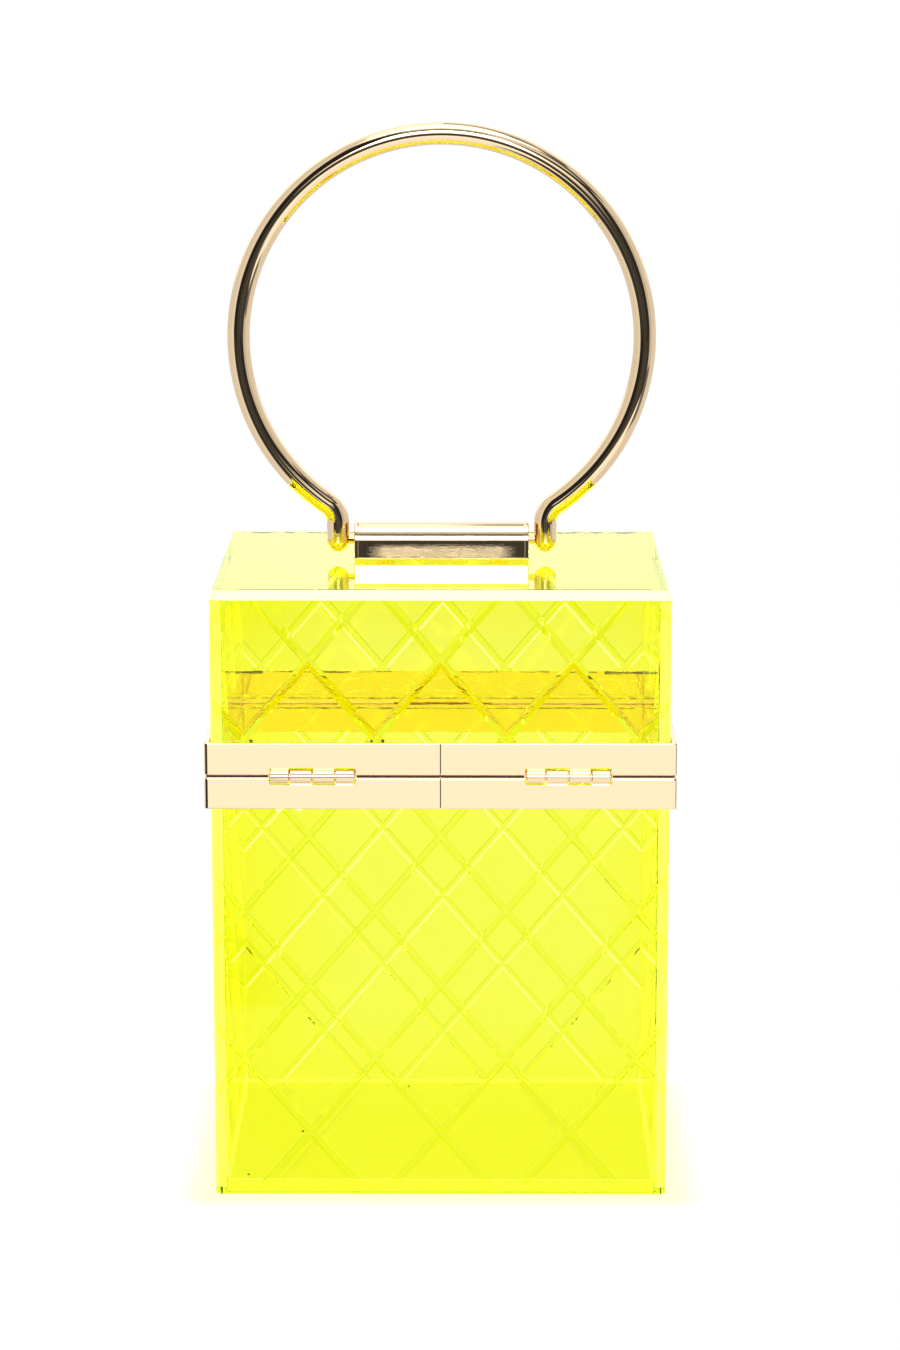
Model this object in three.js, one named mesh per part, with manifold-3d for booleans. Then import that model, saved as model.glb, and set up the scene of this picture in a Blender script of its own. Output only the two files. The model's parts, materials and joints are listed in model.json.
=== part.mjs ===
// Box clutch: a clear neon-yellow acrylic box with a hinged lid, polished metal frames on both rims
// and a round ring handle that swings on a barrel. Millimetres, +Z up, standing on its floor at Z = 0.
// X runs along the hinge, -Y is the hinge side and +Y the clasp side.

import * as THREE from 'three';
import { mergeVertices } from 'three/addons/utils/BufferGeometryUtils.js';
import Module from 'manifold-3d';

const wasm = await Module();
wasm.setup();

// Acrylic case, outside sizes
const caseWidth = 115;
const caseDepth = 90;
const caseHeight = 157.2;
const partingHeight = 110.2;
const wallThickness = 3;
const floorThickness = 3;
const topThickness = 3;
const cornerRadius = 1.2;
const footBevel = 0.5;
const topBevelHeight = 2.6;
const topBevelInset = 0.9;

// Diamond grooves: one repeat of the pattern, and the height of one crossing on each face's middle
const diamondWidth = 33;
const diamondHeight = 38.8;
const baseGrooveWidth = 1.8;
const lidGrooveWidth = 2.2;
const grooveDepth = 0.7;
const baseCrossingHeight = 55.7;
const lidCrossingHeight = 139.2;

// Metal frames: an upright skirt round the rim with a lip turned in over it
const bandHeight = 8.2;
const bandThickness = 1.2;
const lipThickness = 1;
const bandCornerRadius = 2;
const bandEdgeBevel = 0.4;
const partingGap = 0.5;
const seamWidth = 0.3;

// Hinges: knuckles in a row, taking turns between base and lid, in a window cut in both frames
const hingeInset = 25.5;
const knuckleRadius = 1.7;
const knuckleBoreRadius = 1.1;
const knuckleLengths = [4.6, 5.4, 5.4, 4.6];
const knuckleProud = 0.2;
const hingePinRadius = 0.8;
const hingePinOverhang = 0.3;
const windowEndGap = 0.55;
const windowSideGap = 0.5;
const windowCornerRadius = 1;

// Ring handle and the barrel that carries it
const ringRadius = 52;
const ringRise = 52.5;
const wireDiameter = 5.8;
const footSpacing = 53.6;
const footFilletRadius = 6;
const footHoleDepth = 3.6;
const barrelRadius = 4.8;
const barrelLength = 45;
const barrelRimHeight = 0.2;
const barrelRimLength = 1.2;
const barrelSeatDepth = 0.2;
const barrelFootBevel = 0.5;
const axleRadius = 0.9;

// Screws through the top plate into the barrel
const screwSpacing = 29.2;
const screwRadius = 1.1;
const screwHeadRadius = 2.6;
const screwHeadHeight = 1.6;
const screwReach = 2.2;

// Clasp: one plain plate on the front of the lid frame that laps over the base frame
const claspWidth = 27;
const claspHeight = 11;
const claspThickness = 1.6;
const claspLap = 5.8;
const claspCornerRadius = 1.5;
const claspBevel = 0.4;

// Gap between pieces that are fitted to each other
const clearance = 0.3;

// Facets
const arcSegments = 2;
const wireSides = 12;
const ringSteps = 120;
const barrelSides = 28;
const pinSides = 12;
const knuckleSides = 18;
const headSides = 16;

// Sizes that follow from those
const bandWidth = caseWidth + 2 * (clearance + bandThickness);
const bandDepth = caseDepth + 2 * (clearance + bandThickness);
const baseBandTop = partingHeight - partingGap / 2;
const lidBandBottom = partingHeight + partingGap / 2;
const baseRimHeight = baseBandTop - lipThickness - clearance;
const lidRimHeight = lidBandBottom + lipThickness + clearance;
const hingeAxisY = -bandDepth / 2 - knuckleProud;
const hingeMiddle = caseWidth / 2 - hingeInset;
const wireRadius = wireDiameter / 2;
const knuckleRun = knuckleLengths.reduce((sum, length) => sum + length + clearance, -clearance);
const windowWidth = knuckleRun + 2 * windowEndGap;
const windowHeight = 2 * (knuckleRadius + windowSideGap);
const barrelSeatHeight = caseHeight + clearance;
const barrelAxisHeight = barrelSeatHeight + barrelRadius - barrelSeatDepth;
const past = 5;

// Materials
const acrylic = new THREE.MeshStandardMaterial({
  color: 0xeef01c,
  roughness: 0.08,
  metalness: 0,
  transparent: true,
  opacity: 0.55,
  flatShading: true,
});
const gold = new THREE.MeshStandardMaterial({
  color: 0xe3c39a,
  roughness: 0.16,
  metalness: 1,
  flatShading: true,
});

// A geometry as a solid that can be joined and cut
function solidOf(geometry) {
  const bare = geometry.clone();
  bare.deleteAttribute('normal');
  bare.deleteAttribute('uv');
  const merged = mergeVertices(bare, 1e-4);
  return new wasm.Manifold(
    new wasm.Mesh({
      numProp: 3,
      vertProperties: new Float32Array(merged.attributes.position.array),
      triVerts: new Uint32Array(merged.index.array),
    }),
  );
}

// A solid as a geometry again
function geometryOf(solid) {
  const mesh = solid.getMesh();
  const geometry = new THREE.BufferGeometry();
  geometry.setAttribute('position', new THREE.BufferAttribute(mesh.vertProperties, 3));
  geometry.setIndex(new THREE.BufferAttribute(mesh.triVerts, 1));
  geometry.computeVertexNormals();
  return geometry;
}

function piece(name, solid, material, x = 0, y = 0, z = 0) {
  const mesh = new THREE.Mesh(geometryOf(solid), material);
  mesh.name = name;
  mesh.position.set(x, y, z);
  return mesh;
}

function roundedRectangle(width, depth, radius) {
  const x = width / 2 - radius;
  const y = depth / 2 - radius;
  const quarter = Math.PI / 2;
  const shape = new THREE.Shape();
  shape.absarc(x, y, radius, 0, quarter);
  shape.absarc(-x, y, radius, quarter, 2 * quarter);
  shape.absarc(-x, -y, radius, 2 * quarter, 3 * quarter);
  shape.absarc(x, -y, radius, 3 * quarter, 4 * quarter);
  shape.closePath();
  return shape;
}

// An upright block on a rounded rectangle, with its end edges drawn in by inset over bevelHeight
function roundedBlock(width, depth, radius, bottom, top, bevelHeight, inset) {
  const geometry = new THREE.ExtrudeGeometry(roundedRectangle(width, depth, radius), {
    depth: top - bottom - 2 * bevelHeight,
    curveSegments: arcSegments,
    bevelEnabled: true,
    bevelThickness: bevelHeight,
    bevelSize: inset,
    bevelOffset: -inset,
    bevelSegments: 1,
  });
  geometry.translate(0, 0, bottom + bevelHeight);
  return solidOf(geometry);
}

// An upright prism on a rounded rectangle, with sharp ends
function roundedPrism(width, depth, radius, bottom, top) {
  const geometry = new THREE.ExtrudeGeometry(roundedRectangle(width, depth, radius), {
    depth: top - bottom,
    curveSegments: arcSegments,
    bevelEnabled: false,
  });
  geometry.translate(0, 0, bottom);
  return solidOf(geometry);
}

function box(x0, x1, y0, y1, z0, z1) {
  const geometry = new THREE.BoxGeometry(x1 - x0, y1 - y0, z1 - z0);
  geometry.translate((x0 + x1) / 2, (y0 + y1) / 2, (z0 + z1) / 2);
  return solidOf(geometry);
}

// A round bar along X from x0 to x1, about the line through (y, z)
function barAlongX(radius, sides, x0, x1, y, z) {
  const geometry = new THREE.CylinderGeometry(radius, radius, x1 - x0, sides);
  geometry.rotateZ(-Math.PI / 2);
  geometry.translate((x0 + x1) / 2, y, z);
  return solidOf(geometry);
}

// An upright round bar from z0 to z1, about the line through (x, 0)
function barAlongZ(radius, sides, x, z0, z1) {
  const geometry = new THREE.CylinderGeometry(radius, radius, z1 - z0, sides);
  geometry.rotateX(Math.PI / 2);
  geometry.translate(x, 0, (z0 + z1) / 2);
  return solidOf(geometry);
}

// One V groove in a face, from one height to another, running sideways by the diamond's slope.
// start is where it begins, right is the face's horizontal direction and outward its normal.
function grooveCutter(start, right, outward, lean, rise, width) {
  const up = new THREE.Vector3(0, 0, 1);
  const run = right.clone().multiplyScalar((lean * rise * diamondWidth) / diamondHeight);
  const along = run.addScaledVector(up, rise);
  const length = along.length();
  along.normalize();
  const across = outward.clone().cross(along);
  const proud = grooveDepth / 2;
  const halfWidth = (width / 2) * (1 + proud / grooveDepth);
  const section = new THREE.Shape([
    new THREE.Vector2(0, -grooveDepth),
    new THREE.Vector2(halfWidth, proud),
    new THREE.Vector2(-halfWidth, proud),
  ]);
  const geometry = new THREE.ExtrudeGeometry(section, { depth: length, bevelEnabled: false });
  const place = new THREE.Matrix4().makeBasis(across, outward, along).setPosition(start);
  geometry.applyMatrix4(place);
  return solidOf(geometry);
}

// All grooves of one face between two heights: lines of both leanings, one diamond width apart,
// that cross on the middle of the face at crossingHeight
function faceGrooves(face, crossingHeight, low, high, width) {
  const { right, outward, halfFace, distance } = face;
  const slope = diamondWidth / diamondHeight;
  const bottom = low - past;
  const top = high + past;
  const reach = Math.max(Math.abs(bottom - crossingHeight), Math.abs(top - crossingHeight)) * slope;
  const count = Math.ceil((halfFace + reach) / diamondWidth);
  let grooves = null;
  for (const lean of [-1, 1]) {
    for (let i = -count; i <= count; i += 1) {
      const startAlong = i * diamondWidth + lean * (bottom - crossingHeight) * slope;
      const endAlong = i * diamondWidth + lean * (top - crossingHeight) * slope;
      const nearest = Math.min(startAlong, endAlong);
      const farthest = Math.max(startAlong, endAlong);
      if (nearest < halfFace && farthest > -halfFace) {
        const start = outward.clone().multiplyScalar(distance);
        start.addScaledVector(right, startAlong);
        start.z = bottom;
        const cutter = grooveCutter(start, right, outward, lean, top - bottom, width);
        grooves = grooves ? grooves.add(cutter) : cutter;
      }
    }
  }
  return grooves;
}

// Cuts the diamond grooves into all four sides of a shell, between two heights
function grooved(shell, crossingHeight, low, high, width) {
  const faces = [0, 1, 2, 3].map((turn) => {
    const angle = (turn * Math.PI) / 2;
    const alongX = turn % 2 === 0;
    return {
      right: new THREE.Vector3(Math.round(Math.cos(angle)), Math.round(Math.sin(angle)), 0),
      outward: new THREE.Vector3(Math.round(Math.sin(angle)), Math.round(-Math.cos(angle)), 0),
      halfFace: (alongX ? caseWidth : caseDepth) / 2,
      distance: (alongX ? caseDepth : caseWidth) / 2,
    };
  });
  const x = caseWidth / 2 + past;
  const y = caseDepth / 2 + past;
  const zone = box(-x, x, -y, y, low, high);
  let result = shell;
  for (const face of faces) {
    const grooves = faceGrooves(face, crossingHeight, low, high, width);
    result = result.subtract(grooves.intersect(zone));
  }
  return result;
}

// The space inside the acrylic walls, between two heights
function caseHollow(bottom, top) {
  const x = caseWidth / 2 - wallThickness;
  const y = caseDepth / 2 - wallThickness;
  return box(-x, x, -y, y, bottom, top);
}

function baseShell() {
  const block = roundedBlock(
    caseWidth,
    caseDepth,
    cornerRadius,
    0,
    baseRimHeight + past,
    footBevel,
    footBevel,
  );
  const x = caseWidth;
  const aboveRim = box(-x, x, -x, x, baseRimHeight, baseRimHeight + 2 * past);
  const hollow = caseHollow(floorThickness, baseRimHeight + past);
  const shell = block.subtract(aboveRim).subtract(hollow);
  const grooveTop = baseRimHeight + past;
  return grooved(shell, baseCrossingHeight, floorThickness, grooveTop, baseGrooveWidth);
}

function lidShell() {
  const block = roundedBlock(
    caseWidth,
    caseDepth,
    cornerRadius,
    lidRimHeight - past,
    caseHeight,
    topBevelHeight,
    topBevelInset,
  );
  const x = caseWidth;
  const belowRim = box(-x, x, -x, x, lidRimHeight - 2 * past, lidRimHeight);
  const hollow = caseHollow(lidRimHeight - past, caseHeight - topThickness);
  const shell = block.subtract(belowRim).subtract(hollow);
  const grooveBottom = lidRimHeight - past;
  const grooveTop = caseHeight - topBevelHeight;
  let result = grooved(shell, lidCrossingHeight, grooveBottom, grooveTop, lidGrooveWidth);
  for (const x of [-screwSpacing / 2, screwSpacing / 2]) {
    const holeBottom = caseHeight - topThickness - past;
    const hole = barAlongZ(screwRadius + clearance, headSides, x, holeBottom, caseHeight + past);
    result = result.subtract(hole);
  }
  return result;
}

// A plain frame without its hinges, from its skirt's end at bottom to the face of its lip at top,
// with the butt seam of its strip in the middle of the hinge side
function plainBand(bottom, top) {
  const outside = roundedBlock(
    bandWidth,
    bandDepth,
    bandCornerRadius,
    bottom,
    top,
    bandEdgeBevel,
    bandEdgeBevel,
  );
  const pocket = roundedPrism(
    caseWidth + 2 * clearance,
    caseDepth + 2 * clearance,
    cornerRadius + clearance,
    bottom - past,
    top - lipThickness,
  );
  const mouth = caseHollow(bottom - past, top + past);
  const seam = box(
    -seamWidth / 2,
    seamWidth / 2,
    -bandDepth / 2 - past,
    -bandDepth / 2 + wallThickness + bandThickness + past,
    bottom - past,
    top + past,
  );
  return outside.subtract(pocket).subtract(mouth).subtract(seam);
}

// The window that a hinge's knuckles turn in, through the skirts and lips of both frames
function hingeWindow(middle) {
  const shape = roundedRectangle(windowWidth, windowHeight, windowCornerRadius);
  const inner = hingeAxisY + knuckleRadius + windowSideGap;
  const depth = past + inner - hingeAxisY;
  const geometry = new THREE.ExtrudeGeometry(shape, {
    depth,
    curveSegments: arcSegments,
    bevelEnabled: false,
  });
  geometry.rotateX(Math.PI / 2);
  geometry.translate(middle, inner, partingHeight);
  return solidOf(geometry);
}

// The knuckles of one hinge that belong to one frame, each soldered to it by a web behind the
// knuckle. side is -1 for the base frame below and 1 for the lid frame above.
function knuckles(middle, side) {
  const webFront = hingeAxisY + knuckleProud + bandEdgeBevel / 2;
  const webBack = -bandDepth / 2 + bandThickness;
  const webNear = partingHeight + side * (knuckleBoreRadius / 2);
  const webFar = partingHeight + side * (windowHeight / 2 + bandThickness);
  let start = middle - knuckleRun / 2;
  let result = null;
  knuckleLengths.forEach((length, index) => {
    const end = start + length;
    const owner = index % 2 === 0 ? 1 : -1;
    if (owner === side) {
      const round = barAlongX(knuckleRadius, knuckleSides, start, end, hingeAxisY, partingHeight);
      const low = Math.min(webNear, webFar);
      const high = Math.max(webNear, webFar);
      const web = box(start, end, webFront, webBack, low, high);
      const knuckle = round.add(web);
      result = result ? result.add(knuckle) : knuckle;
    }
    start = end + clearance;
  });
  return result;
}

// A frame with the windows, knuckles and bores of both hinges
function hingedBand(plain, side) {
  let band = plain;
  for (const middle of [-hingeMiddle, hingeMiddle]) {
    const x = windowWidth / 2;
    const bore = barAlongX(
      knuckleBoreRadius,
      knuckleSides,
      middle - x,
      middle + x,
      hingeAxisY,
      partingHeight,
    );
    band = band.subtract(hingeWindow(middle)).add(knuckles(middle, side)).subtract(bore);
  }
  return band;
}

function baseBand() {
  return hingedBand(plainBand(baseBandTop - bandHeight, baseBandTop), -1);
}

// The lid's frame is the base's frame turned over end for end about the hinge side's middle
function lidBand() {
  const upright = plainBand(-bandHeight, 0);
  const turned = geometryOf(upright);
  turned.rotateY(Math.PI);
  turned.translate(0, 0, lidBandBottom);
  return hingedBand(solidOf(turned), 1);
}

function hingePin() {
  const halfLength = knuckleRun / 2 + hingePinOverhang;
  return barAlongX(hingePinRadius, pinSides, -halfLength, halfLength, 0, 0);
}

// The lower half of the barrel from x0 to x1: upright sides from its axis to its seat
function barrelCheeks(halfWidth, x0, x1) {
  const seat = barrelSeatHeight - barrelAxisHeight;
  const bevel = barrelFootBevel;
  const section = new THREE.Shape([
    new THREE.Vector2(halfWidth, 0),
    new THREE.Vector2(-halfWidth, 0),
    new THREE.Vector2(-halfWidth, seat + bevel),
    new THREE.Vector2(-halfWidth + bevel, seat),
    new THREE.Vector2(halfWidth - bevel, seat),
    new THREE.Vector2(halfWidth, seat + bevel),
  ]);
  const geometry = new THREE.ExtrudeGeometry(section, { depth: x1 - x0, bevelEnabled: false });
  const place = new THREE.Matrix4();
  place.makeBasis(
    new THREE.Vector3(0, 1, 0),
    new THREE.Vector3(0, 0, 1),
    new THREE.Vector3(1, 0, 0),
  );
  geometry.applyMatrix4(place.setPosition(x0, 0, 0));
  return solidOf(geometry);
}

// The barrel about its own axis: a round top over upright sides, a raised rim at each end, a bore,
// a flat seat and two blind holes in the seat for its screws
function handleBarrel() {
  const bore = axleRadius + clearance;
  const end = barrelLength / 2;
  const rim = barrelRadius + barrelRimHeight;
  const chamfer = barrelRimHeight;
  const inner = end - barrelRimLength;
  const profile = [
    new THREE.Vector2(0, -end),
    new THREE.Vector2(rim - chamfer, -end),
    new THREE.Vector2(rim, -end + chamfer),
    new THREE.Vector2(rim, -inner - chamfer),
    new THREE.Vector2(barrelRadius, -inner),
    new THREE.Vector2(barrelRadius, inner),
    new THREE.Vector2(rim, inner + chamfer),
    new THREE.Vector2(rim, end - chamfer),
    new THREE.Vector2(rim - chamfer, end),
    new THREE.Vector2(0, end),
  ];
  const turned = new THREE.LatheGeometry(profile, barrelSides);
  turned.rotateZ(-Math.PI / 2);
  const seat = barrelSeatHeight - barrelAxisHeight;
  const wide = barrelLength;
  let barrel = solidOf(turned)
    .subtract(box(-wide, wide, -wide, wide, -wide, seat))
    .add(barrelCheeks(barrelRadius, -end, end))
    .add(barrelCheeks(rim, -end + chamfer, -inner - chamfer))
    .add(barrelCheeks(rim, inner + chamfer, end - chamfer))
    .subtract(barAlongX(bore, barrelSides, -wide, wide, 0, 0));
  for (const x of [-screwSpacing / 2, screwSpacing / 2]) {
    const top = seat + screwReach + clearance;
    barrel = barrel.subtract(
      barAlongZ(screwRadius + clearance, headSides, x, seat - past, top),
    );
  }
  return barrel;
}

// A screw about its own axis, from its head at the bottom to its tip in the barrel
function barrelScrew() {
  const headTop = -clearance;
  const tip = topThickness + clearance + screwReach;
  const profile = [
    new THREE.Vector2(0, headTop - screwHeadHeight),
    new THREE.Vector2(screwHeadRadius - clearance, headTop - screwHeadHeight),
    new THREE.Vector2(screwHeadRadius, headTop - screwHeadHeight + clearance),
    new THREE.Vector2(screwHeadRadius, headTop),
    new THREE.Vector2(screwRadius, headTop),
    new THREE.Vector2(screwRadius, tip),
    new THREE.Vector2(0, tip),
  ];
  const turned = new THREE.LatheGeometry(profile, headSides);
  turned.rotateX(Math.PI / 2);
  return solidOf(turned);
}

// An arc in the XZ plane
class UprightArc extends THREE.Curve {
  constructor(centreX, centreZ, radius, from, to) {
    super();
    this.centre = new THREE.Vector3(centreX, 0, centreZ);
    this.radius = radius;
    this.from = from;
    this.to = to;
  }

  getPoint(t, target = new THREE.Vector3()) {
    const angle = this.from + (this.to - this.from) * t;
    const x = this.centre.x + this.radius * Math.cos(angle);
    const z = this.centre.z + this.radius * Math.sin(angle);
    return target.set(x, 0, z);
  }
}

// The wire's centre line, from one foot round the ring to the other, about the axle's axis.
// Each foot rises straight, then bends outwards and runs smoothly into the ring.
function handlePath() {
  const foot = footSpacing / 2;
  const bendX = foot + footFilletRadius;
  const centreDistance = ringRadius + footFilletRadius;
  const drop = Math.sqrt(centreDistance ** 2 - bendX ** 2);
  const bendZ = ringRise - drop;
  const bendAngle = Math.atan2(drop, bendX);
  const path = new THREE.CurvePath();
  path.add(new THREE.LineCurve3(new THREE.Vector3(foot, 0, 0), new THREE.Vector3(foot, 0, bendZ)));
  path.add(new UprightArc(bendX, bendZ, footFilletRadius, Math.PI, Math.PI - bendAngle));
  path.add(new UprightArc(0, ringRise, ringRadius, -bendAngle, Math.PI + bendAngle));
  path.add(new UprightArc(-bendX, bendZ, footFilletRadius, bendAngle, 0));
  path.add(
    new THREE.LineCurve3(new THREE.Vector3(-foot, 0, bendZ), new THREE.Vector3(-foot, 0, 0)),
  );
  return path;
}

// The ring handle about the axle's axis, with a round end and a blind hole in each foot
function ringHandle() {
  const circle = new THREE.Shape();
  for (let i = 0; i < wireSides; i += 1) {
    const angle = (2 * Math.PI * i) / wireSides;
    const x = wireRadius * Math.cos(angle);
    const y = wireRadius * Math.sin(angle);
    if (i === 0) circle.moveTo(x, y);
    else circle.lineTo(x, y);
  }
  const wire = new THREE.ExtrudeGeometry(circle, {
    steps: ringSteps,
    extrudePath: handlePath(),
  });
  const foot = footSpacing / 2;
  const innerFace = foot - wireRadius;
  const hole = barAlongX(
    axleRadius + clearance,
    pinSides,
    -innerFace - footHoleDepth,
    innerFace + footHoleDepth,
    0,
    0,
  );
  let handle = solidOf(wire);
  for (const x of [-foot, foot]) {
    const end = new THREE.SphereGeometry(wireRadius, wireSides, wireSides / 2);
    end.rotateX(Math.PI / 2);
    end.translate(x, 0, 0);
    handle = handle.add(solidOf(end));
  }
  return handle.subtract(hole);
}

function handleAxle() {
  const halfLength = footSpacing / 2 - wireRadius + footHoleDepth - clearance;
  return barAlongX(axleRadius, pinSides, -halfLength, halfLength, 0, 0);
}

// The clasp about its own middle, with its back to the frame
function claspPlate() {
  const shape = roundedRectangle(claspWidth, claspHeight, claspCornerRadius);
  const geometry = new THREE.ExtrudeGeometry(shape, {
    depth: claspThickness - 2 * claspBevel,
    curveSegments: arcSegments,
    bevelEnabled: true,
    bevelThickness: claspBevel,
    bevelSize: claspBevel,
    bevelOffset: -claspBevel,
    bevelSegments: 1,
  });
  geometry.translate(0, 0, claspBevel);
  geometry.rotateX(-Math.PI / 2);
  return solidOf(geometry);
}

// Base of the clutch: shell, frame and the two hinge pins
const base = new THREE.Group();
base.add(piece('base_shell', baseShell(), acrylic));
base.add(piece('base_band', baseBand(), gold));
for (const [name, side] of [
  ['left_hinge_pin', -1],
  ['right_hinge_pin', 1],
]) {
  base.add(piece(name, hingePin(), gold, side * hingeMiddle, hingeAxisY, partingHeight));
}

// Ring handle: the group's origin is the axle's axis, so turning it about X swings the ring
const handle = new THREE.Group();
handle.position.set(0, 0, barrelAxisHeight);
handle.add(piece('ring_handle', ringHandle(), gold));
handle.add(piece('handle_axle', handleAxle(), gold));

// Lid: shell, frame, clasp, barrel and screws, with the handle on it
const lidParts = new THREE.Group();
lidParts.add(piece('lid_shell', lidShell(), acrylic));
lidParts.add(piece('lid_band', lidBand(), gold));
const claspBack = bandDepth / 2 + clearance;
const claspMiddle = partingHeight - claspLap + claspHeight / 2;
lidParts.add(piece('clasp', claspPlate(), gold, 0, claspBack, claspMiddle));
lidParts.add(piece('handle_barrel', handleBarrel(), gold, 0, 0, barrelAxisHeight));
const topUnderside = caseHeight - topThickness;
for (const [name, side] of [
  ['left_screw', -1],
  ['right_screw', 1],
]) {
  lidParts.add(piece(name, barrelScrew(), gold, (side * screwSpacing) / 2, 0, topUnderside));
}
lidParts.add(handle);

// The lid hangs in a group whose origin is the hinge's axis, so turning it about X opens the lid
const lid = new THREE.Group();
lid.position.set(0, hingeAxisY, partingHeight);
lidParts.position.set(0, -hingeAxisY, -partingHeight);
lid.add(lidParts);

const clutch = new THREE.Group();
clutch.add(base);
clutch.add(lid);

export default clutch;
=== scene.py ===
import json
import math

import bmesh
import bpy
import numpy as np
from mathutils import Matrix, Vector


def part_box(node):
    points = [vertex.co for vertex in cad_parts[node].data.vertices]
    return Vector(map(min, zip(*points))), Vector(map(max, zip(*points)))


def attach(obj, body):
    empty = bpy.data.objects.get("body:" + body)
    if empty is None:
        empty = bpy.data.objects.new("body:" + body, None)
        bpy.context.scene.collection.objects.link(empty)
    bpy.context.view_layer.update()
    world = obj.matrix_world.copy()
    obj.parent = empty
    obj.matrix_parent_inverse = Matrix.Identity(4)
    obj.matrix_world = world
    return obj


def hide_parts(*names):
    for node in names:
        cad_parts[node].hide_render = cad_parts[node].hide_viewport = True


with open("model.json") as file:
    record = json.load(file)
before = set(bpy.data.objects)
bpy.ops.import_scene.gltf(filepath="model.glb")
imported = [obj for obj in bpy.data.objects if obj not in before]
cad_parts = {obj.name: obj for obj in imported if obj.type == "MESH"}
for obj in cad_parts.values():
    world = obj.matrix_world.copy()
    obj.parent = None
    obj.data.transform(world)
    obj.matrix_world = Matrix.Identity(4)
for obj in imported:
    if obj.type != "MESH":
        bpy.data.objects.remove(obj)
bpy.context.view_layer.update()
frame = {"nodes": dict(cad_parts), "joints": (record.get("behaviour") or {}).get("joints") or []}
print("frame loaded:", sorted(frame["nodes"]))

mm = 0.001
joints = {joint["name"]: joint for joint in frame["joints"]}
hingeAxis = joints["lid_hinge"]["pos_m"]          # the lid turns about X through this point
swingAxis = joints["handle_swing"]["pos_m"]       # and the ring about X through this one
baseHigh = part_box("base_shell")[1]
lidLow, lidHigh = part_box("lid_shell")
halfWidth, halfDepth = baseHigh.x, baseHigh.y     # outside of the acrylic
wall = 3 * mm


# Mesh tools

def gridQuads(rows, columns, closeRows=False, closeColumns=False):
    # the four corner numbers of every quad of a grid of points; a closed direction joins last to first
    r = np.arange(rows if closeRows else rows - 1)
    c = np.arange(columns if closeColumns else columns - 1)
    r, c = np.meshgrid(r, c, indexing="ij")
    nextR, nextC = (r + 1) % rows, (c + 1) % columns
    corners = [r * columns + c, r * columns + nextC, nextR * columns + nextC, nextR * columns + c]
    return np.stack(corners, -1).reshape(-1, 4).tolist()


def tubeFaces(rows, sides, closedProfile=False):
    # faces over rows of points that close sideways; without a closed profile the two ends get a cap
    faces = gridQuads(rows, sides, closedProfile, True)
    if not closedProfile:
        faces += [list(range(sides)), list(range((rows - 1) * sides, rows * sides))]
    return faces


def turnOutwards(mesh):
    work = bmesh.new()
    work.from_mesh(mesh)
    bmesh.ops.recalc_face_normals(work, faces=work.faces)
    if work.calc_volume(signed=True) < 0:
        bmesh.ops.reverse_faces(work, faces=work.faces)
    work.to_mesh(mesh)
    work.free()


def smoothFaces(mesh, angle):
    # smooth all over, with the creases over this angle in degrees kept sharp
    mesh.polygons.foreach_set("use_smooth", np.ones(len(mesh.polygons), bool))
    mesh.set_sharp_from_angle(angle=math.radians(angle))


def makeObject(name, points, faces, material, smoothAngle=32):
    # a mesh object at the origin with its faces turned outwards
    mesh = bpy.data.meshes.new(name)
    mesh.from_pydata(np.asarray(points).reshape(-1, 3).tolist(), [], faces)
    turnOutwards(mesh)
    smoothFaces(mesh, smoothAngle)
    mesh.materials.append(material)
    made = bpy.data.objects.new(name, mesh)
    bpy.context.scene.collection.objects.link(made)
    return made


def joined(parts):
    # several parts, each with its points and faces, as one
    points, faces, count = [], [], 0
    for corners, partFaces in parts:
        points.append(np.asarray(corners).reshape(-1, 3))
        faces += [[corner + count for corner in face] for face in partFaces]
        count += len(points[-1])
    return np.concatenate(points), faces


def keepFlat(piece):
    # large flat faces keep their own normal, and only the small rounds between them bend the light
    weighted = piece.modifiers.new("flatFaces", "WEIGHTED_NORMAL")
    weighted.mode = "FACE_AREA"
    weighted.weight = 50
    weighted.keep_sharp = True


def cutAway(piece, cutters, smoothAngle=32):
    # takes the cutters' solids out of a piece, for good
    for cutter in cutters:
        cut = piece.modifiers.new("cut", "BOOLEAN")
        cut.operation = "DIFFERENCE"
        cut.solver = "EXACT"
        cut.object = cutter
    whole = bpy.context.evaluated_depsgraph_get()
    mesh = bpy.data.meshes.new_from_object(piece.evaluated_get(whole))
    piece.modifiers.clear()
    piece.data = mesh
    for cutter in cutters:
        bpy.data.objects.remove(cutter)
    smoothFaces(mesh, smoothAngle)


def faceValues(mesh, name):
    values = np.empty(len(mesh.polygons) * 3)
    mesh.polygons.foreach_get(name, values)
    return values.reshape(-1, 3)


def markFaces(mesh, name, values):
    mesh.attributes.new(name, "FLOAT", "FACE").data.foreach_set("value", values)


def place(piece, body, slotName, replaced=()):
    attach(piece, body)
    if replaced:
        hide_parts(*replaced)


def roundedOutline(corners, radii, steps=5):
    # a closed polygon whose corners are arcs: each arc touches both sides at radius / tan(half angle)
    corners = np.array(corners, float)
    before = np.roll(corners, 1, axis=0) - corners
    after = np.roll(corners, -1, axis=0) - corners
    outline = []
    for corner, u, v, radius in zip(corners, before, after, radii):
        u, v = u / np.linalg.norm(u), v / np.linalg.norm(v)
        half = math.acos(np.clip(u @ v, -1, 1)) / 2
        reach = radius / math.tan(half)
        middle = corner + (u + v) / np.linalg.norm(u + v) * radius / math.sin(half)
        t = np.linspace(0, 1, steps + 1)[:, None]
        chord = corner + u * reach + (v - u) * reach * t - middle
        outline.append(middle + chord / np.linalg.norm(chord, axis=1, keepdims=True) * radius)
    return np.concatenate(outline)


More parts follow.
